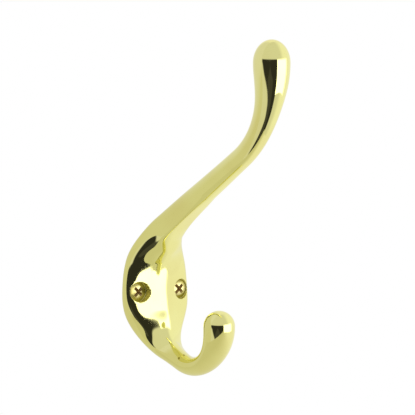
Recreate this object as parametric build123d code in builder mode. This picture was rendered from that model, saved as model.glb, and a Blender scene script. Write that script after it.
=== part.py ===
from build123d import *

import os
from math import cos, hypot, pi, radians, sin, sqrt, tan

import numpy as np

# Coat-and-hat hook: one casting, fixed by two raised countersunk wood screws.
# Millimetres. The wall is the plane y = 0, the hook stands out towards -Y and +Z is up.
# The origin lies on the wall, midway between the two screws.

# Centre line of the casting, seen from the side
base_depth = 2.0            # wall to the widest line of the leaf-shaped base
upper_reach = 78.9          # wall to the axis of the upper tip
arm_slope = 31.0            # rise of the upper arm above level, degrees
arm_root_height = 21.95     # where the arm's line meets the line of the base, above the screws
arm_root_radius = 18.0
arm_bend_radius = 39.0
tip_straight = 3.9          # upright length between the bend and the upper cap
foot_root_drop = 18.95      # where the lower arm's line meets the line of the base, below the screws
foot_slope = 23.8           # fall of the lower arm below level, degrees
foot_root_radius = 17.3
lower_reach = 45.8          # wall to the axis of the lower tip
curl_radius = 17.5
curl_straight = 0.5         # upright length between the curl and the lower cap

# Radius of the upper arm, where its section is round
tip_radius = 7.25
neck_radius = 5.5
waist_radius = 4.25
arm_radius = 4.75

# Half width of the section, and its depths before and behind its widest line, where the arm joins the base
root_width = 6.8
root_front = 7.06
root_back = 4.9
shoulder_width = 10.49
shoulder_front = 9.18
shoulder_back = 4.65

# The same across the leaf of the base: its top, its middle at the screws and its bottom
leaf_top_width = 14.15
leaf_top_front = 7.56
leaf_top_back = 7.5
leaf_width = 15.67
leaf_front = 6.73
leaf_back = 8.0
leaf_foot_width = 15.09
leaf_foot_front = 7.8
leaf_foot_back = 7.5

# The same where the base joins the lower arm
foot_width = 10.75
foot_front = 7.42
foot_back = 5.9
heel_width = 6.48
heel_front = 4.11
heel_back = 5.0

# Half width and half depth along the curl of the lower arm, and the radius of its tip
curl_width = 4.75
curl_depth = 3.85
lower_neck_width = 5.7
lower_neck_depth = 4.45
lower_tip_radius = 6.35

# Where sections stand on a bend or a straight, as shares of its length from the upper end
neck_share = 0.30           # on the upper bend
waist_share = 0.85          # on the upper bend
arm_share = 0.45            # on the upper arm
curl_share = 0.25           # on the lower curl
lower_neck_share = 0.65     # on the lower curl

# Ridge of the base: how far its flanks fall from the ridge to the edge, as a share of the front depth
root_roof = 0.19
shoulder_roof = 0.53
leaf_top_roof = 0.59
leaf_roof = 0.7
leaf_foot_roof = 0.58
foot_roof = 0.54
heel_roof = 0.53
ridge_softness = 0.06       # rounding along the top of the ridge, as a share of the half width

# Power of the rounded edges beside the flanks: 2 is an ellipse, more is squarer
root_edge = 11.2
shoulder_edge = 11.4
leaf_top_edge = 10.0
leaf_edge = 16.0
leaf_foot_edge = 16.1
foot_edge = 8.4
heel_edge = 2.1
round_form = (0.0, 2.0)     # roof and edge of a section without a ridge

# Rounded ends
upper_cap_length = 8.9
lower_cap_length = 6.3

# Screws and their holes
screw_spacing = 20.7
shank_radius = 2.1
thread_radius = 1.8         # mean of crest and root, from the wall to the point
shank_clearance = 0.2
head_radius = 4.1
head_angle = 82.0
head_rim_depth = 4.1        # wall to the rim of the head
head_rim_land = 0.2
head_dome_height = 0.6
pocket_clearance = 0.15     # round the head, in the hole's straight pocket
seat_clearance = 0.03       # along the screw's axis, between head and seat
screw_length = 25.4         # from the rim of the head to the point
point_length = 5.0
point_radius = 0.25
recess_span = 4.4           # cross recess, at its mouth
recess_wing = 1.2
recess_floor_span = 1.8     # cross recess, at its floor
recess_floor_wing = 0.8
recess_depth = 2.2
recess_turn = 45.0          # the cross stands as an X

# How finely the casting's skin is described
section_points = 48
section_pitch = 6.0
cap_steps = 6

os.makedirs("parts", exist_ok=True)


def smooth_law(places, rows):
    """Cubic through rows of sizes at places along the line, level at both ends."""
    places, rows = np.array(places), np.array(rows)
    gap = np.diff(places)
    rise = np.diff(rows, axis=0) / gap[:, None]
    count = len(places)
    system, target = np.eye(count), np.zeros_like(rows)
    for i in range(1, count - 1):
        system[i, i - 1], system[i, i + 1] = gap[i], gap[i - 1]
        system[i, i] = 2 * (gap[i - 1] + gap[i])
        target[i] = 3 * (gap[i] * rise[i - 1] + gap[i - 1] * rise[i])
    slopes = np.linalg.solve(system, target)

    def law(place):
        i = min(max(int(np.searchsorted(places, place)) - 1, 0), count - 2)
        t = (place - places[i]) / gap[i]
        ends = (1 + 2 * t) * (1 - t) ** 2 * rows[i] + t * t * (3 - 2 * t) * rows[i + 1]
        return ends + gap[i] * (t * (1 - t) ** 2 * slopes[i] - t * t * (1 - t) * slopes[i + 1])

    return law


def section_outline(width, front, back, roof, edge):
    """Points round a section, from the back: an ellipse behind its widest line, a ridge before it."""
    soft = ridge_softness
    points = []
    for step in range(section_points):
        turn = 2 * pi * step / section_points - pi / 2
        share, out = cos(turn), back * sin(turn)
        if out >= 0:
            fall = (hypot(share, soft) - soft) / (hypot(1, soft) - soft)
            flank = front * (1 - max(roof, 0.0) * fall)
            out = flank * sqrt(max(0.0, 1 - abs(share) ** max(edge, 2.0)))
        points.append((float(width * share), float(out)))
    return points


# Corners of the centre line, from the upper tip to the lower one
bend_height = arm_root_height + (upper_reach - base_depth) * tan(radians(arm_slope))
tip_height = bend_height + arm_bend_radius * tan(radians(90 - arm_slope) / 2) + tip_straight
curl_height = -foot_root_drop - (lower_reach - base_depth) * tan(radians(foot_slope))
lower_tip_height = curl_height + curl_radius * tan(radians(90 + foot_slope) / 2) + curl_straight

with BuildLine(Plane.YZ) as centre_line:
    FilletPolyline(
        (-upper_reach, tip_height),
        (-upper_reach, bend_height),
        (-base_depth, arm_root_height),
        (-base_depth, -foot_root_drop),
        (-lower_reach, curl_height),
        (-lower_reach, lower_tip_height),
        radius=[arm_bend_radius, arm_root_radius, foot_root_radius, curl_radius],
    )
spine = centre_line.wire()

# The line's straights and bends in order, and the distances along it where they start
upper_end, upper_bend, arm, arm_root, leaf, foot, lower_arm, curl, lower_end = range(9)
joints = [0.0]
for stretch in spine.order_edges():
    joints.append(joints[-1] + stretch.length)


def within(stretch, share=0.5):
    """Distance along the line to a share of one of its stretches, or to its middle."""
    return joints[stretch] + share * (joints[stretch + 1] - joints[stretch])


# Section sizes along the line: place, half width, front, back, roof and edge
stations = [
    (joints[upper_end], tip_radius, tip_radius, tip_radius, *round_form),
    (within(upper_bend, neck_share), neck_radius, neck_radius, neck_radius, *round_form),
    (within(upper_bend, waist_share), waist_radius, waist_radius, waist_radius, *round_form),
    (within(arm, arm_share), arm_radius, arm_radius, arm_radius, *round_form),
    (joints[arm_root], root_width, root_front, root_back, root_roof, root_edge),
    (within(arm_root), shoulder_width, shoulder_front, shoulder_back, shoulder_roof, shoulder_edge),
    (joints[leaf], leaf_top_width, leaf_top_front, leaf_top_back, leaf_top_roof, leaf_top_edge),
    (within(leaf), leaf_width, leaf_front, leaf_back, leaf_roof, leaf_edge),
    (joints[foot], leaf_foot_width, leaf_foot_front, leaf_foot_back, leaf_foot_roof, leaf_foot_edge),
    (within(foot), foot_width, foot_front, foot_back, foot_roof, foot_edge),
    (joints[lower_arm], heel_width, heel_front, heel_back, heel_roof, heel_edge),
    (within(curl, curl_share), curl_width, curl_depth, curl_depth, *round_form),
    (within(curl, lower_neck_share), lower_neck_width, lower_neck_depth, lower_neck_depth, *round_form),
    (joints[-1], lower_tip_radius, lower_tip_radius, lower_tip_radius, *round_form),
]
sizes_at = smooth_law([row[0] for row in stations], [row[1:] for row in stations])


def plane_at(place):
    """Plane square to the centre line, with X across and Y towards the front of the casting."""
    return Plane(
        origin=spine.position_at(place, position_mode=PositionMode.LENGTH),
        x_dir=(1, 0, 0),
        z_dir=spine.tangent_at(place, position_mode=PositionMode.LENGTH),
    )


def section(plane, sizes):
    """Face across the casting, its outline a spline with points at the same even steps on every section."""
    steps = [step / section_points for step in range(section_points + 1)]
    with BuildSketch(plane) as face:
        with BuildLine():
            add(Edge.make_spline(section_outline(*sizes), periodic=True, parameters=steps))
        make_face()
    return face.sketch


def bar_sections(start, end):
    """Sections along a stretch of the centre line."""
    count = max(2, round((end - start) / section_pitch))
    places = [start + (end - start) * step / count for step in range(count + 1)]
    return [section(plane_at(place), sizes_at(place)) for place in places]


def cap_sections(plane, radius, length):
    """Sections of a half-ellipsoid end along the plane's normal, and its pole."""
    angles = [pi / 2 * step / cap_steps for step in range(cap_steps)]
    faces = [section(plane.offset(length * sin(a)), [radius * cos(a)] * 3 + list(round_form)) for a in angles]
    return [*faces, Vertex(plane.offset(length).origin)]


# The countersunk seat: its cone meets the pocket a little outside the rim of the head
pocket_radius = head_radius + pocket_clearance
head_flare = tan(radians(head_angle / 2))
pocket_depth = head_rim_depth - head_rim_land + pocket_clearance / head_flare - seat_clearance

with BuildPart(Plane.XZ) as hook:
    # Upper arm, base and lower arm, through sections square to the centre line
    for first, last in ((upper_end, arm_root), (arm_root, lower_arm), (lower_arm, -1)):
        loft(sections=bar_sections(joints[first], joints[last]), clean=False)

    # Rounded ends of both arms
    loft(sections=cap_sections(plane_at(0), tip_radius, -upper_cap_length)[::-1], clean=False)
    loft(sections=cap_sections(plane_at(spine.length), lower_tip_radius, lower_cap_length), clean=False)

    # Flat back, on the wall
    split(bisect_by=Plane.XZ, keep=Keep.TOP)

    # Screw holes: clearance hole, countersunk seat and the straight pocket outside it
    with Locations((-screw_spacing / 2, 0, pocket_depth), (screw_spacing / 2, 0, pocket_depth)):
        CounterSinkHole(shank_radius + shank_clearance, pocket_radius, counter_sink_angle=head_angle)
hook.part.label = "hook"
export_step(hook.part, "parts/hook.step")

# Places along the screw, in +Y from the top of its dome to its point; its thread starts at the wall
rim = -head_rim_depth
crown = rim - head_dome_height
seat_top = rim + head_rim_land
seat_end = seat_top + (head_radius - shank_radius) / head_flare
tip = rim + screw_length

with BuildPart() as mounting_screws:
    for side in (-1, 1):
        centre = side * screw_spacing / 2
        with BuildSketch(Plane(origin=(centre, 0, 0), x_dir=(1, 0, 0), z_dir=(0, 0, 1))):
            with BuildLine():
                TangentArc((0, crown), (head_radius, rim), tangent=(1, 0))
                Polyline(
                    (head_radius, rim),
                    (head_radius, seat_top),
                    (shank_radius, seat_end),
                    (shank_radius, 0),
                    (thread_radius, 0),
                    (thread_radius, tip - point_length),
                    (point_radius, tip),
                    (0, tip),
                    (0, crown),
                )
            make_face()
        revolve(axis=Axis((centre, 0, 0), (0, 1, 0)))

        # Cross recess: two slots that taper to the floor
        mouth = Plane(origin=(centre, crown, 0), x_dir=(1, 0, 0), z_dir=(0, -1, 0))
        for turn in (recess_turn, recess_turn + 90):
            with BuildSketch(mouth):
                Rectangle(recess_span, recess_wing, rotation=turn)
            with BuildSketch(mouth.offset(-recess_depth)):
                Rectangle(recess_floor_span, recess_floor_wing, rotation=turn)
            loft(mode=Mode.SUBTRACT)
mounting_screws.part.label = "mounting_screws"
export_step(mounting_screws.part, "parts/mounting_screws.step")
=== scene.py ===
import math

import bmesh
import bpy
import numpy as np
from mathutils import Matrix, Vector


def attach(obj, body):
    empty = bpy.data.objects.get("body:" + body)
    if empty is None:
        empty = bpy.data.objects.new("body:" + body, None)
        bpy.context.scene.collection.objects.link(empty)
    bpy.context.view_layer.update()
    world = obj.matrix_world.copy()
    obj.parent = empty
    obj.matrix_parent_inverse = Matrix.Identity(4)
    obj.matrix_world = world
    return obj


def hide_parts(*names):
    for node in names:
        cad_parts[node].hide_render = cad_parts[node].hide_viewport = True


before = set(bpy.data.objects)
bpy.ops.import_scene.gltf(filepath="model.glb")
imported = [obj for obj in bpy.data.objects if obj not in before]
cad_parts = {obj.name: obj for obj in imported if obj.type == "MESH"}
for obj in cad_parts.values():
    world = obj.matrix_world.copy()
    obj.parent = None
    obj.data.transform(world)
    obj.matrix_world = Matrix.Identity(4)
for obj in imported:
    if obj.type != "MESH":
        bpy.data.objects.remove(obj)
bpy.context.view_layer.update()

bl_info = {
    "name": "Coat and Hat Hook",
    "version": (1, 0, 0),
    "blender": (4, 5, 0),
    "location": "View3D > Sidebar > Coat Hook",
    "description": "Polished brass coat hook with its two wood screws, and a small photo stage",
    "category": "Add Mesh",
}

# The hook's frame: the wall is the plane y = 0, the hook stands out towards -Y, +Z is up
FRONT, BACK, UP = (0, -1, 0), (0, 1, 0), (0, 0, 1)
SIDES = (-1, 1)

# Power of an ellipse; roof, edge power and softness of a section without a ridge; least softness of a ridge
ELLIPSE = 2.0
ROUND = (0.0, ELLIPSE, 0.6)
LEAST_SOFTNESS = 0.03

# Points closer than this become one, and edges sharper than these angles stay sharp
MERGE = 1e-7
CASTING_SHARP = math.radians(32)
SCREW_SHARP = math.radians(35)

# Cutter of a screw hole: its ends before the base and behind the wall, and its steps
CUT_FRONT, CUT_BACK = -0.030, 0.002
HOLE_STEPS = 96

# Screw: rings on the dome, the share of the dome that they take up, and small roundings of its edges
DOME_RINGS, DOME_SHARE = 14, 0.985
HEAD_ROUNDING, SHANK_ROUNDING, BLUNT_POINT = 0.00003, 0.0001, 0.00006

# Screw behind the wall: end of the plain shank, start of the thread's root, and bulge of the point
SHANK_END, ROOT_START = 0.0008, 0.0016
POINT_BULGE = (0.55, 0.45)

# Thread: start, end before the point, steps in a turn, half foot by the pitch, sunk foot by the root
THREAD_START, THREAD_STOP = 0.0012, 0.0004
THREAD_STEPS, THREAD_FOOT, THREAD_CORE = 36, 0.24, 0.9

# Thread's run-in: turns until it has its height, and its height at the start; taper of the point
RUN_IN_TURNS, RUN_IN_HEIGHT = 2.5, 0.35
TAPER_END, TAPER_POWER = 0.04, 0.8

# Finishes in metres: ground skin of the back, edge of the drilled holes, depth of tarnish, depth of marks
GROUND_SKIN = (-0.00025, -0.00005)
DRILLED_EDGE = 0.00004
TARNISH_DEPTH = (0.00004, 0.0005)
MARK_DEPTH = 0.00003

# Streaks of the ground back: scale, detail, height, how they are drawn out, and where they turn rough
STREAK_SCALE, STREAK_DETAIL, STREAK_HEIGHT = 500.0, 3.0, 6.0
STREAK_STRETCH, STREAK_EDGE = (0.10, 1.0, 2.2), (0.3, 0.7)

# Screw finish: shade of its clouds, and reach of the tarnish by the recess's span and depth
CLOUD_SHADE = 0.86
TARNISH_SPAN, TARNISH_REACH = 0.52, 1.1

# Stage: white, matt paint, half sides of floor and wall, and the wall's gap behind the hook and its middle
WHITE = (1.0, 1.0, 1.0)
MATT_PAINT = (0.85, 0.85, 0.85, 1.0)
FLOOR_HALF, WALL_HALF = 1.0, 0.35
WALL_GAP, WALL_MIDDLE = 0.0003, 0.03

# Light: point that the soft box stands round, steps of its cloth, and the lamp's reach by the cloth's
LIGHT_AIM = Vector((0, -0.04, 0.03))
CLOTH_STEPS, LAMP_BEHIND = 32, 1.02

# Directions in the tent, from -1 to 1 along X or Z: its bright side, and heights of the opening's forms
BRIGHT_SIDE = (0.25, 0.70)
LEAN_HEIGHTS = (-0.80, 0.15)
RETURN_HEIGHTS = (-0.96, -0.70)
WEDGE_HEIGHTS = (-0.35, -0.03)


def length(name, value, text):
    """Length property in metres."""
    return bpy.props.FloatProperty(name=name, description=text, default=value, unit="LENGTH", precision=5)


def angle(name, degrees, text):
    """Angle property, given in degrees."""
    value = math.radians(degrees)
    return bpy.props.FloatProperty(name=name, description=text, default=value, subtype="ANGLE")


def factor(name, value, text):
    """Share or strength without a unit."""
    return bpy.props.FloatProperty(name=name, description=text, default=value, precision=3)


def count(name, value, text):
    """Whole number of rings, points or turns."""
    return bpy.props.IntProperty(name=name, description=text, default=value, min=3)


def several(name, values, text, unit="NONE"):
    """Some values that belong together."""
    return bpy.props.FloatVectorProperty(
        name=name, description=text, size=len(values), default=values, unit=unit, precision=5
    )


def section(name, half_width, front, back, text):
    """Half width of a section, and its depths before and behind its widest line."""
    return several(name, (half_width, front, back), text, "LENGTH")


def ridge(name, roof, edge, soft, text):
    """Fall of a section's flanks as a share of its front, power of its edges, and softness of its ridge."""
    return several(name, (roof, edge, soft), text)


def limits(name, low, high, text):
    """Two places in metres between which something changes."""
    return several(name, (low, high), text, "LENGTH")


def bearings(name, low, high, text):
    """Two directions between which something changes, given in degrees."""
    return several(name, (math.radians(low), math.radians(high)), text, "ROTATION")


def colour(name, value, text):
    """Linear colour."""
    return bpy.props.FloatVectorProperty(
        name=name, description=text, default=value, subtype="COLOR", min=0.0, max=1.0
    )


class HookSizes(bpy.types.PropertyGroup):
    """Sizes of the casting: its centre line, its sections and its ends."""

    base_depth: length("Base depth", 0.0020, "Wall to the widest line of the base")
    upper_reach: length("Upper reach", 0.0789, "Wall to the axis of the upper tip")
    arm_slope: angle("Arm slope", 31.0, "Rise of the upper arm above level")
    arm_root_height: length("Arm root height", 0.02195, "Where the arm's line meets the base's")
    arm_root_radius: length("Arm root radius", 0.0180, "Bend from the base into the upper arm")
    arm_bend_radius: length("Arm bend radius", 0.0390, "Bend below the upper tip")
    tip_straight: length("Tip straight", 0.0039, "Upright length under the upper tip")
    foot_root_drop: length("Foot root drop", 0.01895, "Where the lower arm's line meets the base's")
    foot_slope: angle("Foot slope", 23.8, "Fall of the lower arm below level")
    foot_root_radius: length("Foot root radius", 0.0173, "Bend from the base into the lower arm")
    lower_reach: length("Lower reach", 0.0458, "Wall to the axis of the lower tip")
    curl_radius: length("Curl radius", 0.0175, "Bend of the lower curl")
    curl_straight: length("Curl straight", 0.0005, "Upright length under the lower tip")
    upper_cap: length("Upper cap", 0.0089, "Length of the rounded upper end")
    lower_cap: length("Lower cap", 0.0063, "Length of the rounded lower end")

    tip: section("Upper tip", 0.00725, 0.00725, 0.00725, "Section at the upper tip")
    neck: section("Neck", 0.0055, 0.0055, 0.0055, "Section below the upper tip")
    waist: section("Waist", 0.00425, 0.00425, 0.00425, "Thinnest section of the upper arm")
    arm: section("Arm", 0.00475, 0.00475, 0.00475, "Section along the upper arm")
    root: section("Arm root", 0.0068, 0.007185, 0.0049, "Section where the arm leaves the base")
    shoulder: section("Shoulder", 0.010494, 0.009082, 0.00465, "Section in the upper bend of the base")
    leaf_top: section("Leaf top", 0.014145, 0.007547, 0.0075, "Section above the screws")
    leaf: section("Leaf", 0.01567, 0.006717, 0.008, "Section at the screws")
    leaf_foot: section("Leaf foot", 0.015088, 0.007872, 0.0075, "Section below the screws")
    foot: section("Foot", 0.010755, 0.007382, 0.0059, "Section in the lower bend of the base")
    heel: section("Heel", 0.006483, 0.004101, 0.005, "Section where the lower arm leaves the base")
    curl: section("Curl", 0.00475, 0.00385, 0.00385, "Section at the start of the lower curl")
    lower_neck: section("Lower neck", 0.0057, 0.00445, 0.00445, "Section below the lower tip")
    lower_tip: section("Lower tip", 0.00635, 0.00635, 0.00635, "Section at the lower tip")

    root_ridge: ridge("Arm root ridge", 0.26, 10.3, 1.49, "Flanks and edges where the arm starts")
    shoulder_ridge: ridge("Shoulder ridge", 0.54, 10.6, 0.44, "Flanks and edges in the base's upper bend")
    leaf_top_ridge: ridge("Leaf top ridge", 0.65, 14.4, 0.17, "Flanks and edges above the screws")
    leaf_ridge: ridge("Leaf ridge", 0.68, 17.2, 0.04, "Flanks and edges at the screws")
    leaf_foot_ridge: ridge("Leaf foot ridge", 0.58, 17.6, 0.05, "Flanks and edges below the screws")
    foot_ridge: ridge("Foot ridge", 0.53, 13.2, 0.16, "Flanks and edges in the base's lower bend")
    heel_ridge: ridge("Heel ridge", 0.57, 2.1, 0.31, "Flanks and edges where the lower arm starts")

    neck_share: factor("Neck share", 0.30, "Where the neck stands on the upper bend")
    waist_share: factor("Waist share", 0.85, "Where the waist stands on the upper bend")
    arm_share: factor("Arm share", 0.45, "Where the arm's section stands on its straight")
    curl_share: factor("Curl share", 0.25, "Where the curl's section stands on the lower bend")
    lower_neck_share: factor("Lower neck share", 0.65, "Where the lower neck stands on the lower bend")

    around: count("Points around", 168, "Points round each section")
    pitch: length("Ring pitch", 0.0005, "Distance between the rings of the skin")
    cap_rings: count("Cap rings", 16, "Rings on each rounded end")


class ScrewSizes(bpy.types.PropertyGroup):
    """Sizes of the wood screws and of the countersunk holes that they sit in."""

    spacing: length("Spacing", 0.0207, "Distance between the two screws")
    head_radius: length("Head radius", 0.0041, "Radius of the head")
    head_angle: angle("Head angle", 82.0, "Included angle under the head")
    head_depth: length("Head depth", 0.00395, "Wall to the rim of the head")
    rim_land: length("Rim land", 0.00005, "Straight part of the head's rim")
    dome: length("Dome", 0.00082, "Height of the domed top")
    shank_radius: length("Shank radius", 0.0021, "Radius of the plain shank and of the thread's crest")
    root_radius: length("Root radius", 0.00148, "Radius at the root of the thread")
    shank_clearance: length("Shank clearance", 0.0002, "Gap between shank and hole")
    pocket_clearance: length("Pocket clearance", 0.00015, "Gap round the head in the straight pocket")
    seat_clearance: length("Seat clearance", 0.00003, "Gap between head and seat along the axis")
    rim_reach: length("Rim reach", 0.00442, "Radius at which the casting starts to round off into a hole")
    rim_sag: length("Rim sag", 0.00006, "How far the casting has rounded off at the edge of a hole")
    screw_length: length("Screw length", 0.02525, "Rim of the head to the point")
    point_length: length("Point length", 0.0050, "Length of the gimlet point")
    thread_pitch: length("Thread pitch", 0.00169, "Distance from one turn of the thread to the next")
    recess_span: length("Recess span", 0.0052, "Cross recess from end to end at its mouth")
    recess_wing: length("Recess wing", 0.0014, "Width of a wing of the cross at its mouth")
    recess_depth: length("Recess depth", 0.0024, "Depth of the cross recess below the top of the dome")
    recess_floor: factor("Recess floor", 0.42, "Size of the cross at its floor, as a share of its mouth")
    around: count("Points around", 72, "Points round the screw")


class Finishes(bpy.types.PropertyGroup):
    """Colours and polish of the brass."""

    brass: colour("Polished brass", (0.86, 0.83, 0.345), "Bright polished brass of the hook")
    brass_warm: colour("Handled brass", (0.83, 0.78, 0.31), "Slightly warmer brass in cloudy patches")
    brass_ground: colour("Ground brass", (0.72, 0.66, 0.30), "Ground flat back of the hook")
    hook_polish: several("Hook roughness", (0.045, 0.095), "Casting, between and along its hairlines")
    back_polish: several("Back roughness", (0.28, 0.50), "Ground back, between and along its streaks")
    hole_polish: factor("Hole roughness", 0.42, "Roughness of the drilled screw holes")
    hook_waves: factor("Hook waves", 0.12, "Strength of the waves and streaks on the casting")
    screw_brass: colour("Screw brass", (0.78, 0.70, 0.30), "Plated brass of the screws")
    # Painted shade: darker brass round the rim of a screw head, standing in for the dark reflections at the
    # edge of its dome
    screw_rim_painted_shade: colour("Screw rim", (0.42, 0.37, 0.11), "Darker plating round the rim of a head")
    screw_tarnish: colour("Screw tarnish", (0.52, 0.38, 0.17), "Brown shade in the cross recess")
    screw_polish: several("Screw roughness", (0.20, 0.32), "Screws, between and along their hairlines")
    screw_waves: factor("Screw waves", 0.15, "Strength of the waves on the screws")
    # Shares of the head's radius over which that painted shade comes in
    rim_shade_fade: several("Rim fade", (0.45, 0.80), "Shares of the head's radius between which it grows darker")
    recess_metal: factor("Recess metal", 0.35, "How much of the bare metal shows in the cross recess")
    recess_dull: factor("Recess dullness", 0.3, "Roughness that is added in the cross recess")


class StageSettings(bpy.types.PropertyGroup):
    """Camera, wall, floor and light."""

    azimuth: angle("Azimuth", -37.0, "Camera's direction from the hook, 0 is square in front")
    elevation: angle("Elevation", 4.0, "Camera's height above level")
    distance: length("Distance", 0.850, "Camera to the point that it looks at")
    lens: factor("Lens", 184.3, "Focal length in millimetres")
    sensor: factor("Sensor", 36.0, "Width of the camera's sensor in millimetres")
    aim: several("Aim", (-0.00016, -0.03825, 0.03621), "Point at the middle of the picture", "LENGTH")

    floor_drop: length("Floor drop", 0.0345, "Floor below the screws")
    floor_turn: angle("Floor turn", 17.0, "Turn of the card that makes the floor, seen from above")
    floor_front: length("Floor front", 0.123, "Middle of the hook's wall to the front edge of the card")
    floor_left: length("Floor left", 0.056, "Middle of the hook's wall to the left edge of the card")
    # Painted bounce light: the floor that metal sees is darker and warm on the left, near the brass
    floor_left_painted_bounce: colour("Floor left", (0.67, 0.66, 0.53), "Floor that the brass shows on its left")
    floor_right_tone: colour("Floor right", (0.97, 0.96, 0.95), "Floor and wall that it shows on its right")
    floor_across: limits("Floor across", -0.020, 0.035, "Places between which the floor's tone changes")
    # Painted shade: the wall that metal sees beside the base is darker and warm, for the hook's shade and
    # the brass's bounce light
    wall_low_painted_shade: colour("Wall low", (0.72, 0.71, 0.60), "Wall that it shows beside the base")
    wall_high_tone: colour("Wall high", (0.81, 0.81, 0.86), "Wall that it shows beside the upper tip")
    wall_across: limits("Wall across", -0.010, 0.040, "Places between which the wall's tone changes")
    wall_up: limits("Wall up", 0.030, 0.085, "Heights between which the wall's tone changes")

    tent: factor("Tent", 0.76, "Light of the white tent round the hook")
    tent_side: factor("Tent side", 0.24, "How much brighter the tent is on the right")
    opening: factor("Opening", 0.030, "Light of the dark room in the tent's opening")
    opening_left: bearings("Opening left", -104.0, -96.0, "Directions between which its left edge darkens")
    opening_lean: angle("Opening lean", -46.0, "Lean of the left edge towards the middle below level")
    opening_return: angle("Opening return", 44.0, "How far the left edge comes back near the ground")
    opening_right: bearings("Opening right", -5.0, -1.0, "Directions between which its right edge ends")
    opening_top: bearings("Opening top", 10.0, 15.0, "Elevations between which its upper edge ends")
    wedge: angle("Wedge", -48.0, "Direction of a paler wedge in the dark room")
    wedge_spread: angle("Wedge spread", 18.0, "Half width of the wedge at its foot")
    wedge_edge: bearings("Wedge edge", -3.0, 2.0, "Softness of the wedge's edges, inwards and outwards")
    wedge_light: factor("Wedge light", 0.030, "How much brighter the wedge is than the room")

    soft_box: factor("Soft box", 2.5, "Light of the soft box on the right")
    box_reach: length("Soft box reach", 1.3, "Hook to the soft box")
    box_left: angle("Soft box left", -4.0, "Direction of its left edge, 0 is square in front")
    box_right: angle("Soft box right", 70.0, "Direction of its right edge")
    box_fade: angle("Soft box fade", 20.0, "Stretch over which it grows dim towards its right edge")
    box_low: angle("Soft box low", -31.5, "Direction of its lower edge, below level")
    box_slant: factor("Soft box slant", 0.22, "Rise of its lower edge towards the right")
    box_high: angle("Soft box high", 13.0, "Direction of its upper edge, above level")
    box_high_fade: angle("Soft box high fade", 8.0, "Stretch over which it grows dim at its upper edge")
    lamp_size: several("Lamp size", (1.5, 1.0), "Width and height of the lamp behind it", "LENGTH")


class CentreLine:
    """The casting's centre line in depth and height: straights joined by tangent arcs."""

    def __init__(self, sizes):
        rise, fall = sizes.arm_slope, sizes.foot_slope
        bend = sizes.arm_root_height + (sizes.upper_reach - sizes.base_depth) * math.tan(rise)
        tip = bend + sizes.arm_bend_radius * math.tan((math.pi / 2 - rise) / 2) + sizes.tip_straight
        curl = -sizes.foot_root_drop - (sizes.lower_reach - sizes.base_depth) * math.tan(fall)
        end = curl + sizes.curl_radius * math.tan((math.pi / 2 + fall) / 2) + sizes.curl_straight
        corners = [
            Vector((sizes.upper_reach, tip)),
            Vector((sizes.upper_reach, bend)),
            Vector((sizes.base_depth, sizes.arm_root_height)),
            Vector((sizes.base_depth, -sizes.foot_root_drop)),
            Vector((sizes.lower_reach, curl)),
            Vector((sizes.lower_reach, end)),
        ]
        radii = [sizes.arm_bend_radius, sizes.arm_root_radius, sizes.foot_root_radius, sizes.curl_radius]
        self.stretches = []
        start = corners[0]
        for before, corner, after, radius in zip(corners, corners[1:], corners[2:], radii):
            inward, outward = (before - corner).normalized(), (after - corner).normalized()
            half = inward.angle(outward) / 2
            first = corner + inward * radius / math.tan(half)
            last = corner + outward * radius / math.tan(half)
            middle = corner + (inward + outward).normalized() * radius / math.sin(half)
            turn = (math.pi - 2 * half) * math.copysign(1, -inward.cross(outward))
            self.stretches.append((start, first, None, 0.0))
            self.stretches.append((first, last, middle, turn))
            start = last
        self.stretches.append((start, corners[-1], None, 0.0))
        self.joints = [0.0]
        for first, last, middle, turn in self.stretches:
            run = (last - first).length if middle is None else abs(turn) * (first - middle).length
            self.joints.append(self.joints[-1] + run)

    def within(self, stretch, share=0.5):
        """Distance along the line to a share of one of its stretches."""
        return self.joints[stretch] + share * (self.joints[stretch + 1] - self.joints[stretch])

    def at(self, place):
        """Point and direction at a distance along the line, both in the hook's frame."""
        last = len(self.stretches) - 1
        number = min(max(int(np.searchsorted(self.joints, place)) - 1, 0), last)
        first, end, middle, turn = self.stretches[number]
        share = (place - self.joints[number]) / (self.joints[number + 1] - self.joints[number])
        if middle is None:
            point, way = first + (end - first) * share, (end - first).normalized()
        else:
            spoke = Matrix.Rotation(turn * share, 2) @ (first - middle)
            point = middle + spoke
            way = Vector((-spoke.y, spoke.x)).normalized() * math.copysign(1, turn)
        return Vector((0, -point.x, point.y)), Vector((0, -way.x, way.y))


def smooth_law(places, rows):
    """Cubic through rows of sizes at places along the line, level at both ends."""
    places, rows = np.array(places), np.array(rows)
    gap = np.diff(places)
    rise = np.diff(rows, axis=0) / gap[:, None]
    total = len(places)
    system, target = np.eye(total), np.zeros_like(rows)
    for i in range(1, total - 1):
        system[i, i - 1], system[i, i + 1] = gap[i], gap[i - 1]
        system[i, i] = 2 * (gap[i - 1] + gap[i])
        target[i] = 3 * (gap[i] * rise[i - 1] + gap[i - 1] * rise[i])
    slopes = np.linalg.solve(system, target)

    def law(place):
        i = min(max(int(np.searchsorted(places, place)) - 1, 0), total - 2)
        t = (place - places[i]) / gap[i]
        ends = (1 + 2 * t) * (1 - t) ** 2 * rows[i] + t * t * (3 - 2 * t) * rows[i + 1]
        return ends + gap[i] * (t * (1 - t) ** 2 * slopes[i] - t * t * (1 - t) * slopes[i + 1])

    return law


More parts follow.
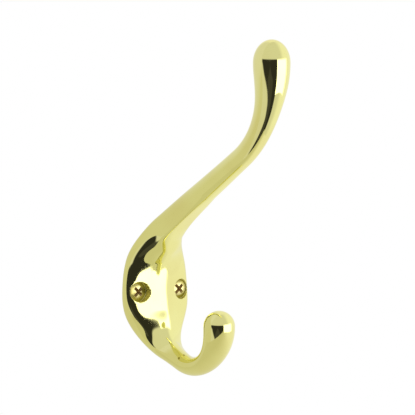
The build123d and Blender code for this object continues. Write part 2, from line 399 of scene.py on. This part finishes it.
def section_law(sizes, line):
    """Half width, front, back, roof, edge power and softness of the casting, by distance along its line."""
    tip_end, bend, arm, root, leaf, foot, lower, curl, _ = range(9)
    stations = {
        "tip": line.joints[tip_end],
        "neck": line.within(bend, sizes.neck_share),
        "waist": line.within(bend, sizes.waist_share),
        "arm": line.within(arm, sizes.arm_share),
        "root": line.joints[root],
        "shoulder": line.within(root),
        "leaf_top": line.joints[leaf],
        "leaf": line.within(leaf),
        "leaf_foot": line.joints[foot],
        "foot": line.within(foot),
        "heel": line.joints[lower],
        "curl": line.within(curl, sizes.curl_share),
        "lower_neck": line.within(curl, sizes.lower_neck_share),
        "lower_tip": line.joints[-1],
    }
    rows = [(*getattr(sizes, name), *getattr(sizes, name + "_ridge", ROUND)) for name in stations]
    return smooth_law(list(stations.values()), rows)


def section_point(row, turn):
    """Point of a section across the line, at a turn about it: (across, out), out towards the front."""
    width, front, back, roof, edge, soft = row
    share, height = math.cos(turn), math.sin(turn)
    if height < 0:
        return width * share, back * height
    soft = max(soft, LEAST_SOFTNESS)
    fall = (math.hypot(share, soft) - soft) / (math.hypot(1, soft) - soft)
    flank = front * (1 - max(roof, 0.0) * fall)
    return width * share, flank * math.sqrt(max(0.0, 1 - abs(share) ** max(edge, ELLIPSE)))


def hook_rings(sizes):
    """Rings of points over the casting from the upper pole to the lower one."""
    line = CentreLine(sizes)
    law = section_law(sizes, line)
    total = line.joints[-1]
    bar = max(2, round(total / sizes.pitch))
    caps = sizes.cap_rings
    stops = [(0.0, math.pi / 2 * (1 - k / caps), -sizes.upper_cap) for k in range(caps)]
    stops += [(total * k / bar, 0.0, 0.0) for k in range(bar + 1)]
    stops += [(total, math.pi / 2 * (k + 1) / caps, sizes.lower_cap) for k in range(caps)]
    rings = []
    for place, rise, cap in stops:
        point, way = line.at(place)
        across = Vector((1, 0, 0))
        out = way.cross(across)
        point = point + way * cap * math.sin(rise)
        row = law(place)
        ring = []
        for k in range(sizes.around):
            x, y = section_point(row, 2 * math.pi * k / sizes.around - math.pi / 2)
            ring.append(point + (across * x + out * y) * math.cos(rise))
        rings.append(ring)
    return rings


def skin_over(mesh, rings):
    """Quad skin over rings of points: a grid wrapped round them, closed along its seam and at its poles."""
    around, along, half = len(rings[0]), len(rings) - 1, 0.5
    grid = bmesh.ops.create_grid(mesh, x_segments=around, y_segments=along, size=half)
    for vert in grid["verts"]:
        column = round((vert.co.x + half) * around) % around
        row = round((vert.co.y + half) * along)
        vert.co = rings[row][column]
    bmesh.ops.remove_doubles(mesh, verts=mesh.verts, dist=MERGE)
    bmesh.ops.recalc_face_normals(mesh, faces=mesh.faces)


def lathe(mesh, profile, steps, centre):
    """Turned shape about an axis along Y, from points of radius and place along the axis."""
    verts = [mesh.verts.new((centre + radius, place, 0)) for radius, place in profile]
    edges = [mesh.edges.new(pair) for pair in zip(verts, verts[1:])]
    bmesh.ops.spin(
        mesh,
        geom=verts + edges,
        cent=(centre, 0, 0),
        axis=BACK,
        dvec=(0, 0, 0),
        angle=2 * math.pi,
        steps=steps,
        use_merge=True,
    )
    bmesh.ops.remove_doubles(mesh, verts=mesh.verts, dist=MERGE)


def smooth_faces(mesh):
    """Turns the faces of a bmesh outwards and shades them smooth."""
    bmesh.ops.recalc_face_normals(mesh, faces=mesh.faces)
    for face in mesh.faces:
        face.smooth = True


def placed(name, data):
    """Object at the origin, in the scene's collection."""
    thing = bpy.data.objects.new(name, data)
    bpy.context.scene.collection.objects.link(thing)
    return thing


def linked(name, mesh, material):
    """Object from a bmesh, in one material."""
    data = bpy.data.meshes.new(name)
    mesh.to_mesh(data)
    mesh.free()
    data.materials.append(material)
    return placed(name, data)


def towards(bearing, rise=0.0):
    """Way out from the wall at a bearing, 0 being square in front, with a rise."""
    return Vector((math.sin(bearing), -math.cos(bearing), rise))


def look_back(thing, place, way):
    """Sets a lamp or a camera at a place, looking back against a way."""
    thing.location = place
    thing.rotation_mode = "QUATERNION"
    thing.rotation_quaternion = (-way).to_track_quat("-Z", "Y")


def finished(name, mesh, material, sharp):
    """Piece from a bmesh, smooth except along edges sharper than an angle."""
    smooth_faces(mesh)
    piece = linked(name, mesh, material)
    piece.data.set_sharp_from_angle(angle=sharp)
    return piece


def cut_away(piece, cutter, sharp):
    """Takes the cutter's shape out of a piece and removes the cutter."""
    cut = piece.modifiers.new("Cut", "BOOLEAN")
    cut.operation, cut.solver, cut.object = "DIFFERENCE", "EXACT", cutter
    graph = bpy.context.evaluated_depsgraph_get()
    data = bpy.data.meshes.new_from_object(piece.evaluated_get(graph), depsgraph=graph)
    piece.modifiers.clear()
    before, piece.data = piece.data, data
    data.name = piece.name
    bpy.data.meshes.remove(before)
    used = cutter.data
    bpy.data.objects.remove(cutter)
    bpy.data.meshes.remove(used)
    data.set_sharp_from_angle(angle=sharp)


def seat_sizes(screws):
    """Radius and depth of the straight pocket, and the flare of the countersunk seat."""
    flare = math.tan(screws.head_angle / 2)
    radius = screws.head_radius + screws.pocket_clearance
    depth = screws.head_depth - screws.rim_land + screws.pocket_clearance / flare - screws.seat_clearance
    return radius, depth, flare


# Materials

def add_node(tree, kind, given=(), **settings):
    """Node with its settings and its inputs, each a value or a socket; gives its outputs."""
    node = tree.nodes.new("ShaderNode" + kind)
    for name, setting in settings.items():
        setattr(node, name, setting)
    for name, value in dict(given).items():
        if isinstance(value, bpy.types.NodeSocket):
            tree.links.new(value, node.inputs[name])
        else:
            node.inputs[name].default_value = value
    return node.outputs


def empty_tree(owner):
    """Node tree of a material or a world, with nothing in it."""
    owner.use_nodes = True
    owner.node_tree.nodes.clear()
    return owner.node_tree


def blank_material(name):
    """New material and its empty node tree."""
    material = bpy.data.materials.new(name)
    return material, empty_tree(material)


def value_node(tree, operation, *inputs):
    """Math node; an input is a number or a socket."""
    return add_node(tree, "Math", enumerate(inputs), operation=operation)[0]


def product(tree, value, *others):
    """All the given values multiplied."""
    for other in others:
        value = value_node(tree, "MULTIPLY", value, other)
    return value


def without(tree, value, share):
    """A value as far as a share leaves it: all at 0, nothing at 1."""
    return product(tree, value, value_node(tree, "SUBTRACT", 1.0, share))


def ramp_between(tree, given, low, high, start=0.0, end=1.0):
    """Smooth step of a value from start to end as it passes from low to high."""
    sockets = {"Value": given, "From Min": low, "From Max": high, "To Min": start, "To Max": end}
    return add_node(tree, "MapRange", sockets, interpolation_type="SMOOTHSTEP")["Result"]


def along_axes(tree, vector):
    """X, Y and Z of a vector."""
    return add_node(tree, "SeparateXYZ", {"Vector": vector})


def mix_shaders(tree, share, first, second):
    """Mix of two shaders by a share of the second."""
    return add_node(tree, "MixShader", enumerate((share, first, second)))["Shader"]


def blend_colours(tree, share, first, second):
    """Mix of two colours by a share of the second; each is a colour or a socket."""
    share_in, first_in, second_in, colour_out = 0, 6, 7, 2
    sockets = {share_in: share, first_in: first, second_in: second}
    for number in (first_in, second_in):
        if not isinstance(sockets[number], bpy.types.NodeSocket):
            sockets[number] = (*sockets[number], 1.0)
    return add_node(tree, "Mix", sockets, data_type="RGBA")[colour_out]


def noise(tree, vector, scale, detail, stretch=None):
    """Noise over Object coordinates; a stretch draws it out into streaks."""
    if stretch is not None:
        vector = add_node(tree, "Mapping", {"Vector": vector, "Scale": stretch})["Vector"]
    return add_node(tree, "TexNoise", {"Vector": vector, "Scale": scale, "Detail": detail})["Fac"]


def handled_brass():
    """Node group of what handling and polishing leave on brass: clouds, fine hairlines and soft waviness."""
    cloud_edge, hairline_edge, hairline_stretch = (0.35, 0.70), (0.45, 0.75), (1.0, 0.25, 0.06)
    group = bpy.data.node_groups.new("Handled brass", "ShaderNodeTree")
    face = group.interface
    face.new_socket("Position", in_out="INPUT", socket_type="NodeSocketVector")
    for name, value in (("Cloud scale", 60.0), ("Hairline scale", 900.0), ("Wave scale", 160.0)):
        face.new_socket(name, in_out="INPUT", socket_type="NodeSocketFloat").default_value = value
    for name in ("Cloud", "Hairline", "Wave"):
        face.new_socket(name, in_out="OUTPUT", socket_type="NodeSocketFloat")
    given, made = group.nodes.new("NodeGroupInput").outputs, group.nodes.new("NodeGroupOutput").inputs
    place = given["Position"]
    cloud = noise(group, place, given["Cloud scale"], detail=3.0)
    hair = noise(group, place, given["Hairline scale"], detail=2.0, stretch=hairline_stretch)
    wave = noise(group, place, given["Wave scale"], detail=1.0)
    group.links.new(ramp_between(group, cloud, *cloud_edge), made["Cloud"])
    group.links.new(ramp_between(group, hair, *hairline_edge), made["Hairline"])
    group.links.new(wave, made["Wave"])
    return group


def brass_material(name, clouds, hairlines, waves):
    """Material with the handled-brass group; gives it, its tree, its coordinates and the group's outputs."""
    material, tree = blank_material(name)
    position = add_node(tree, "TexCoord")["Object"]
    sockets = {"Position": position, "Cloud scale": clouds, "Hairline scale": hairlines, "Wave scale": waves}
    group = bpy.data.node_groups.get("Handled brass") or handled_brass()
    return material, tree, position, add_node(tree, "Group", sockets, node_tree=group)


def metal(tree, tint, bare, rough, height, strength):
    """Metal on a material's output: its colour, how bare it is, its roughness and its bump."""
    sockets = {"Height": height, "Strength": strength, "Distance": MARK_DEPTH}
    normal = add_node(tree, "Bump", sockets)["Normal"]
    sockets = {"Base Color": tint, "Metallic": bare, "Roughness": rough, "Normal": normal}
    add_node(tree, "OutputMaterial", {"Surface": add_node(tree, "BsdfPrincipled", sockets)["BSDF"]})


def from_axis(tree, place, screws):
    """Distance of a place from the axis of the nearer screw; place holds X, Y and Z."""
    across = value_node(tree, "SUBTRACT", value_node(tree, "ABSOLUTE", place["X"]), screws.spacing / 2)
    square = product(tree, across, across)
    return value_node(tree, "SQRT", value_node(tree, "MULTIPLY_ADD", place["Z"], place["Z"], square))


def dome_ball(screws):
    """Radius of the ball that the dome of a screw head is a part of."""
    return (screws.head_radius**2 + screws.dome**2) / (2 * screws.dome)


def polished_brass(finish, screws):
    """Bright casting: mirror polish in front, dull in its drilled holes, ground streaks on its flat back."""
    scales = {"clouds": 55.0, "hairlines": 700.0, "waves": 120.0}
    material, tree, position, marks = brass_material("polished_brass", **scales)
    place = along_axes(tree, position)
    back = ramp_between(tree, place["Y"], *GROUND_SKIN)
    streak = noise(tree, position, STREAK_SCALE, STREAK_DETAIL, STREAK_STRETCH)
    tint = blend_colours(tree, marks["Cloud"], finish.brass, finish.brass_warm)
    tint = blend_colours(tree, back, tint, finish.brass_ground)

    # Roughness: the polish with its hairlines, the holes, and the streaks of the back
    polish = ramp_between(tree, marks["Hairline"], 0.0, 1.0, *finish.hook_polish)
    ground = ramp_between(tree, streak, *STREAK_EDGE, *finish.back_polish)
    hole_radius, _, _ = seat_sizes(screws)
    drilled = value_node(tree, "LESS_THAN", from_axis(tree, place, screws), hole_radius + DRILLED_EDGE)
    polish = value_node(tree, "MAXIMUM", polish, product(tree, drilled, finish.hole_polish))
    rough = value_node(tree, "MULTIPLY_ADD", ground, back, without(tree, polish, back))

    height = value_node(tree, "MULTIPLY_ADD", product(tree, streak, back), STREAK_HEIGHT, marks["Wave"])
    metal(tree, tint, 1.0, rough, height, finish.hook_waves)
    return material


def screw_brass(finish, screws):
    """Plated screw brass, with painted shade that darkens the rim of the head, and brown in its cross
    recess.
    """
    scales = {"clouds": 260.0, "hairlines": 1500.0, "waves": 400.0}
    material, tree, position, marks = brass_material("screw_brass", **scales)
    place = along_axes(tree, position)
    out = from_axis(tree, place, screws)

    # Depth below the dome: the dome is a part of a ball, so its height falls with the distance from the axis
    ball = dome_ball(screws)
    square = value_node(tree, "SUBTRACT", ball * ball, product(tree, out, out))
    centre = ball - screws.head_depth - screws.dome
    dome = value_node(tree, "SUBTRACT", centre, value_node(tree, "SQRT", square))
    depth = value_node(tree, "SUBTRACT", place["Y"], dome)
    beside = value_node(tree, "LESS_THAN", out, screws.recess_span * TARNISH_SPAN)
    above = value_node(tree, "LESS_THAN", depth, screws.recess_depth * TARNISH_REACH)
    sunk = product(tree, ramp_between(tree, depth, *TARNISH_DEPTH), beside, above)

    cloudy = [CLOUD_SHADE * part for part in finish.screw_brass]
    tint = blend_colours(tree, marks["Cloud"], finish.screw_brass, cloudy)
    # Painted shade: the head grows darker towards its rim
    fade = [share * screws.head_radius for share in finish.rim_shade_fade]
    tint = blend_colours(tree, ramp_between(tree, out, *fade), tint, finish.screw_rim_painted_shade)
    tint = blend_colours(tree, sunk, tint, finish.screw_tarnish)
    bare = ramp_between(tree, sunk, 0.0, 1.0, 1.0, finish.recess_metal)
    polish = ramp_between(tree, marks["Hairline"], 0.0, 1.0, *finish.screw_polish)
    rough = value_node(tree, "MULTIPLY_ADD", sunk, finish.recess_dull, polish)
    metal(tree, tint, bare, rough, marks["Wave"], finish.screw_waves)
    return material


def stage_material(name, tone, clear_behind):
    """Pale matt surface: white to the camera, the given tone to metal, and clear from behind if asked."""
    material, tree = blank_material(name)
    rays, surface = add_node(tree, "LightPath"), add_node(tree, "NewGeometry")
    seen = rays["Is Camera Ray"]
    for path in ("Is Glossy Ray", "Is Transmission Ray"):
        seen = value_node(tree, "MAXIMUM", seen, rays[path])
    shown = tone(tree, along_axes(tree, surface["Position"]))
    shown = blend_colours(tree, rays["Is Camera Ray"], shown, WHITE)
    matt = add_node(tree, "BsdfDiffuse", {"Color": MATT_PAINT})["BSDF"]
    look = mix_shaders(tree, seen, matt, add_node(tree, "Emission", {"Color": shown})["Emission"])
    if clear_behind:
        clear = add_node(tree, "BsdfTransparent")["BSDF"]
        look = mix_shaders(tree, surface["Backfacing"], look, clear)
    add_node(tree, "OutputMaterial", {"Surface": look})
    return material


# Operators

class COATHOOK_OT_casting(bpy.types.Operator):
    """Model the casting: both arms, the leaf-shaped base with its flat back and the two countersunk holes"""

    bl_idname = "coathook.casting"
    bl_label = "Casting"

    def execute(self, context):
        scene = context.scene
        sizes, screws = scene.hook_sizes, scene.screw_sizes
        radius, depth, flare = seat_sizes(screws)
        mesh = bmesh.new()
        skin_over(mesh, hook_rings(sizes))

        # Polish rounds the casting off into its screw holes
        for vert in mesh.verts:
            off = math.hypot(abs(vert.co.x) - screws.spacing / 2, vert.co.z)
            near = min(1.0, max(0.0, (screws.rim_reach - off) / (screws.rim_reach - radius)))
            if vert.co.y < -sizes.base_depth:
                vert.co.y = min(vert.co.y + screws.rim_sag * near * near, -sizes.base_depth)

        # Flat back on the wall
        everything = list(mesh.verts) + list(mesh.edges) + list(mesh.faces)
        bmesh.ops.bisect_plane(
            mesh, geom=everything, dist=MERGE / 10, plane_co=(0, 0, 0), plane_no=BACK, clear_outer=True
        )
        rim = [edge for edge in mesh.edges if edge.is_boundary]
        bmesh.ops.contextual_create(mesh, geom=rim)
        material = polished_brass(scene.hook_finishes, screws)
        piece = finished("hook_casting", mesh, material, CASTING_SHARP)

        # Holes: clearance hole, countersunk seat and straight pocket
        hole = screws.shank_radius + screws.shank_clearance
        profile = [
            (0, CUT_FRONT),
            (radius, CUT_FRONT),
            (radius, -depth),
            (hole, -depth + (radius - hole) / flare),
            (hole, CUT_BACK),
            (0, CUT_BACK),
        ]
        cutter = bmesh.new()
        for side in SIDES:
            lathe(cutter, profile, HOLE_STEPS, side * screws.spacing / 2)
        cut_away(piece, finished("hole_cutter", cutter, material, CASTING_SHARP), CASTING_SHARP)

        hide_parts("hook")
        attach(piece, "root")
        return {"FINISHED"}


class COATHOOK_OT_screws(bpy.types.Operator):
    """Model the two wood screws: domed head with a cross recess, plain shank, thread and gimlet point"""

    bl_idname = "coathook.screws"
    bl_label = "Wood screws"

    def turned_profile(self, screws):
        """Radius and place along the axis from the top of the dome to the point, without the thread."""
        head, shank, root = screws.head_radius, screws.shank_radius, screws.root_radius
        rim, crown = -screws.head_depth, -screws.head_depth - screws.dome
        ball = dome_ball(screws)
        reach = math.asin(head / ball)
        turns = [reach * k / DOME_RINGS * DOME_SHARE for k in range(DOME_RINGS + 1)]
        profile = [(ball * math.sin(turn), crown + ball * (1 - math.cos(turn))) for turn in turns]
        seat = rim + screws.rim_land
        flare = math.tan(screws.head_angle / 2)
        seat_end = seat + (head - shank) / flare
        tip = rim + screws.screw_length
        bulge, bulge_share = POINT_BULGE
        return profile + [
            (head, rim + screws.rim_land / 3),
            (head, seat - screws.rim_land / 3),
            (head - HEAD_ROUNDING * flare, seat + HEAD_ROUNDING),
            (shank + SHANK_ROUNDING * flare, seat_end - SHANK_ROUNDING),
            (shank, seat_end + SHANK_ROUNDING),
            (shank, SHANK_END),
            (root, ROOT_START),
            (root, tip - screws.point_length),
            (root * bulge, tip - screws.point_length * bulge_share),
            (BLUNT_POINT, tip - BLUNT_POINT),
            (0, tip),
        ]

    def recess(self, cutter, screws, centre):
        """Cross recess: a plus-shaped plate, extruded to its floor and drawn in there."""
        edge, inner = 0.5, 0.25
        plate = bmesh.ops.create_grid(cutter, x_segments=3, y_segments=3, size=edge)["verts"]
        corners = [vert for vert in plate if min(abs(vert.co.x), abs(vert.co.y)) > inner]
        bmesh.ops.delete(cutter, geom=corners, context="VERTS")
        plate = [vert for vert in plate if vert.is_valid]
        for vert in plate:
            for axis in (0, 1):
                wide = screws.recess_span if abs(vert.co[axis]) > inner else screws.recess_wing
                vert.co[axis] = math.copysign(wide / 2, vert.co[axis])
        faces = list(dict.fromkeys(face for vert in plate for face in vert.link_faces))
        floor = bmesh.ops.extrude_face_region(cutter, geom=faces)["geom"]
        floor = [item for item in floor if isinstance(item, bmesh.types.BMVert)]
        bmesh.ops.scale(cutter, vec=(screws.recess_floor, screws.recess_floor, 1), verts=floor)
        bmesh.ops.translate(cutter, vec=(0, 0, screws.recess_depth), verts=floor)
        turn = Matrix.Rotation(-math.pi / 2, 4, "X") @ Matrix.Rotation(math.pi / 4, 4, "Z")
        crown = -screws.head_depth - screws.dome
        place = Matrix.Translation((centre, crown, 0)) @ turn
        bmesh.ops.transform(cutter, matrix=place, verts=plate + floor)

    def thread(self, mesh, screws, centre):
        """Thread: a pointed ridge spun along the shank, sunk in at its start and tapered with the point."""
        start, tip = THREAD_START, screws.screw_length - screws.head_depth
        run = tip - THREAD_STOP - start
        turns = run / screws.thread_pitch
        steps = round(THREAD_STEPS * turns)
        foot = screws.thread_pitch * THREAD_FOOT
        core = screws.root_radius * THREAD_CORE
        corners = ((core, -foot), (screws.shank_radius, 0), (core, foot))
        rib = [mesh.verts.new((centre + radius, start + along, 0)) for radius, along in corners]
        face = mesh.faces.new(rib)
        before = set(mesh.verts)
        bmesh.ops.spin(
            mesh,
            geom=[face] + list(face.edges) + rib,
            cent=(centre, 0, 0),
            axis=FRONT,
            dvec=(0, run / steps, 0),
            angle=2 * math.pi * turns,
            steps=steps,
        )
        for vert in rib + [vert for vert in mesh.verts if vert not in before]:
            radial = Vector((vert.co.x - centre, 0, vert.co.z))
            run_in = min(1.0, max(0.0, (vert.co.y - start + foot) / (RUN_IN_TURNS * screws.thread_pitch)))
            left = min(1.0, max(0.0, (tip - vert.co.y) / screws.point_length))
            reach = radial.length
            if reach > screws.root_radius:
                reach = core + (reach - core) * (RUN_IN_HEIGHT + (1 - RUN_IN_HEIGHT) * run_in)
            radial = radial.normalized() * reach * (TAPER_END + (1 - TAPER_END) * left**TAPER_POWER)
            vert.co = Vector((centre + radial.x, vert.co.y, radial.z))

    def execute(self, context):
        screws = context.scene.screw_sizes
        centres = [side * screws.spacing / 2 for side in SIDES]
        material = screw_brass(context.scene.hook_finishes, screws)
        mesh, cutter = bmesh.new(), bmesh.new()
        for centre in centres:
            lathe(mesh, self.turned_profile(screws), screws.around, centre)
            self.recess(cutter, screws, centre)
        piece = finished("mounting_screw_pair", mesh, material, SCREW_SHARP)
        cut_away(piece, finished("recess_cutter", cutter, material, SCREW_SHARP), SCREW_SHARP)

        # Threads are added after the cut, as shells of their own that run into the core
        threads = bmesh.new()
        threads.from_mesh(piece.data)
        for centre in centres:
            self.thread(threads, screws, centre)
        smooth_faces(threads)
        threads.to_mesh(piece.data)
        threads.free()
        piece.data.set_sharp_from_angle(angle=SCREW_SHARP)

        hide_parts("mounting_screws")
        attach(piece, "root")
        return {"FINISHED"}


class COATHOOK_OT_stage(bpy.types.Operator):
    """Set up the stage: pale floor and wall, white tent with an open front, soft box and camera"""

    bl_idname = "coathook.stage"
    bl_label = "Stage"

    def panel(self, name, half, place, material):
        """Flat square panel, from half its side."""
        mesh = bmesh.new()
        bmesh.ops.create_grid(mesh, x_segments=1, y_segments=1, size=half, matrix=place)
        linked(name, mesh, material)

    def floor(self, stage):
        """Pale card under the hook, from its front left corner to far behind and to the right."""

        def tone(tree, place):
            # Painted bounce light: darker and warmer towards the left of the floor
            right = ramp_between(tree, place["X"], *stage.floor_across)
            return blend_colours(tree, right, stage.floor_left_painted_bounce, stage.floor_right_tone)

        material = stage_material("pale_floor", tone, clear_behind=False)
        turn = Matrix.Rotation(stage.floor_turn, 4, "Z")
        middle = (FLOOR_HALF - stage.floor_left, FLOOR_HALF - stage.floor_front, -stage.floor_drop)
        self.panel("floor", FLOOR_HALF, Matrix.Translation(turn @ Vector(middle)) @ turn, material)

    def wall(self, stage):
        """White wall behind the hook, clear when looked through from its other side."""

        def tone(tree, place):
            # Painted shade: low beside the base the wall that metal sees is darker and warmer, and it pales
            # upwards and to the right
            above = ramp_between(tree, place["Z"], *stage.wall_up)
            right = ramp_between(tree, place["X"], *stage.wall_across)
            left = blend_colours(tree, above, stage.wall_low_painted_shade, stage.wall_high_tone)
            return blend_colours(tree, right, left, stage.floor_right_tone)

        material = stage_material("white_wall", tone, clear_behind=True)
        place = Matrix.Translation((0, WALL_GAP, WALL_MIDDLE)) @ Matrix.Rotation(math.pi / 2, 4, "X")
        self.panel("wall", WALL_HALF, place, material)

    def tent(self, context, stage):
        """World: white to the camera; a pale tent with a dark open front to everything else."""
        world = bpy.data.worlds.new("photo_tent")
        context.scene.world = world
        tree = empty_tree(world)
        way = along_axes(tree, add_node(tree, "TexCoord")["Generated"])
        bearing = value_node(tree, "ARCTAN2", way["X"], product(tree, way["Y"], -1.0))
        level = ramp_between(tree, way["X"], *BRIGHT_SIDE, stage.tent, stage.tent + stage.tent_side)

        # Opening: its left edge leans towards the middle below level, and comes back near the ground
        lean = ramp_between(tree, way["Z"], *LEAN_HEIGHTS, stage.opening_lean, 0.0)
        back = ramp_between(tree, way["Z"], *RETURN_HEIGHTS, stage.opening_return, 0.0)
        leant = value_node(tree, "ADD", bearing, value_node(tree, "ADD", lean, back))
        left = ramp_between(tree, leant, *stage.opening_left)
        right = ramp_between(tree, bearing, *stage.opening_right, 1.0, 0.0)
        below = ramp_between(tree, way["Z"], *map(math.sin, stage.opening_top), 1.0, 0.0)
        opening = product(tree, left, right, below)

        # Dark room in the opening, with a paler wedge that stands on its ground
        off = value_node(tree, "ABSOLUTE", value_node(tree, "SUBTRACT", bearing, stage.wedge))
        spread = ramp_between(tree, way["Z"], *WEDGE_HEIGHTS, stage.wedge_spread, 0.0)
        off = value_node(tree, "SUBTRACT", off, spread)
        pale = stage.opening + stage.wedge_light
        room = ramp_between(tree, off, *stage.wedge_edge, pale, stage.opening)

        lit = value_node(tree, "MULTIPLY_ADD", opening, room, without(tree, level, opening))
        camera = add_node(tree, "LightPath")["Is Camera Ray"]
        shown = value_node(tree, "ADD", without(tree, lit, camera), camera)
        light = add_node(tree, "Background", {"Color": (*WHITE, 1.0), "Strength": shown})
        add_node(tree, "OutputWorld", {"Surface": light["Background"]})

    def cloth(self, stage):
        """Curved white cloth of the soft box, on the right, that only metal shows."""
        low, high = (stage.box_reach * math.tan(edge) for edge in (stage.box_low, stage.box_high))
        half_fade = stage.box_reach * math.tan(stage.box_high_fade) / 2
        top = LIGHT_AIM.z + high
        material, tree = blank_material("white_cloth")
        place = along_axes(tree, add_node(tree, "NewGeometry")["Position"])
        upper = ramp_between(tree, place["Z"], top - half_fade, top + half_fade, 1.0, 0.0)
        before = value_node(tree, "SUBTRACT", LIGHT_AIM.y, place["Y"])
        bearing = value_node(tree, "ARCTAN2", place["X"], before)
        side = ramp_between(tree, bearing, stage.box_right - stage.box_fade, stage.box_right, 1.0, 0.0)
        dim = stage.tent + stage.tent_side
        bright = product(tree, upper, side)
        level = value_node(tree, "MULTIPLY_ADD", bright, stage.soft_box - dim, dim)
        glow = add_node(tree, "Emission", {"Strength": level})["Emission"]
        clear = add_node(tree, "BsdfTransparent")["BSDF"]
        look = mix_shaders(tree, add_node(tree, "LightPath")["Is Glossy Ray"], clear, glow)
        add_node(tree, "OutputMaterial", {"Surface": look})

        mesh = bmesh.new()
        start = towards(stage.box_left) * stage.box_reach + LIGHT_AIM
        ends = [mesh.verts.new(start + Vector(UP) * rise) for rise in (low, high + half_fade)]
        bmesh.ops.spin(
            mesh,
            geom=[mesh.edges.new(ends), *ends],
            cent=LIGHT_AIM,
            axis=UP,
            angle=stage.box_right - stage.box_left,
            steps=CLOTH_STEPS,
        )
        for vert in mesh.verts:
            if vert.co.z < LIGHT_AIM.z:
                vert.co.z += stage.box_slant * (vert.co.x - start.x)
        linked("soft_box_cloth", mesh, material)

    def lamp(self, stage):
        """Lamp behind the cloth, that lights matt surfaces."""
        lamp = bpy.data.lights.new("soft_box", "AREA")
        lamp.shape = "RECTANGLE"
        lamp.size, lamp.size_y = stage.lamp_size
        lamp.energy = stage.soft_box * math.pi * lamp.size * lamp.size_y
        middle, height = (stage.box_left + stage.box_right) / 2, (stage.box_low + stage.box_high) / 2
        way = towards(middle, math.tan(height))
        box = placed("soft_box", lamp)
        look_back(box, LIGHT_AIM + way * stage.box_reach * LAMP_BEHIND, way)
        box.visible_camera = False
        box.visible_glossy = False

    def camera(self, context, stage):
        """Camera at the photograph's angle."""
        way = towards(stage.azimuth) * math.cos(stage.elevation) + Vector(UP) * math.sin(stage.elevation)
        lens = bpy.data.cameras.new("camera")
        lens.lens, lens.sensor_width = stage.lens, stage.sensor
        camera = placed("camera", lens)
        look_back(camera, Vector(stage.aim) + way * stage.distance, way)
        context.scene.camera = camera

    def execute(self, context):
        stage = context.scene.hook_stage
        self.floor(stage)
        self.wall(stage)
        self.tent(context, stage)
        self.cloth(stage)
        self.lamp(stage)
        self.camera(context, stage)
        context.scene.view_settings.view_transform = "Standard"
        return {"FINISHED"}


class COATHOOK_PT_panel(bpy.types.Panel):
    """Buttons for the pieces of the hook and for the stage"""

    bl_idname = "COATHOOK_PT_panel"
    bl_label = "Coat Hook"
    bl_space_type = "VIEW_3D"
    bl_region_type = "UI"
    bl_category = "Coat Hook"

    def draw(self, context):
        column = self.layout.column(align=True)
        for operator in OPERATORS:
            column.operator(operator.bl_idname)
        for name in GROUPS:
            settings = getattr(context.scene, name)
            box = self.layout.box()
            box.label(text=settings.bl_rna.name)
            for key in settings.__annotations__:
                box.prop(settings, key)


GROUPS = {
    "hook_sizes": HookSizes,
    "screw_sizes": ScrewSizes,
    "hook_finishes": Finishes,
    "hook_stage": StageSettings,
}
OPERATORS = (COATHOOK_OT_casting, COATHOOK_OT_screws, COATHOOK_OT_stage)


def register():
    for name, group in GROUPS.items():
        bpy.utils.register_class(group)
        setattr(bpy.types.Scene, name, bpy.props.PointerProperty(type=group))
    for operator in OPERATORS:
        bpy.utils.register_class(operator)
    bpy.utils.register_class(COATHOOK_PT_panel)


def unregister():
    bpy.utils.unregister_class(COATHOOK_PT_panel)
    for operator in reversed(OPERATORS):
        bpy.utils.unregister_class(operator)
    for name, group in reversed(GROUPS.items()):
        delattr(bpy.types.Scene, name)
        bpy.utils.unregister_class(group)


def main():
    register()
    bpy.ops.coathook.casting()
    bpy.ops.coathook.screws()
    bpy.ops.coathook.stage()


if __name__ == "__main__":
    main()
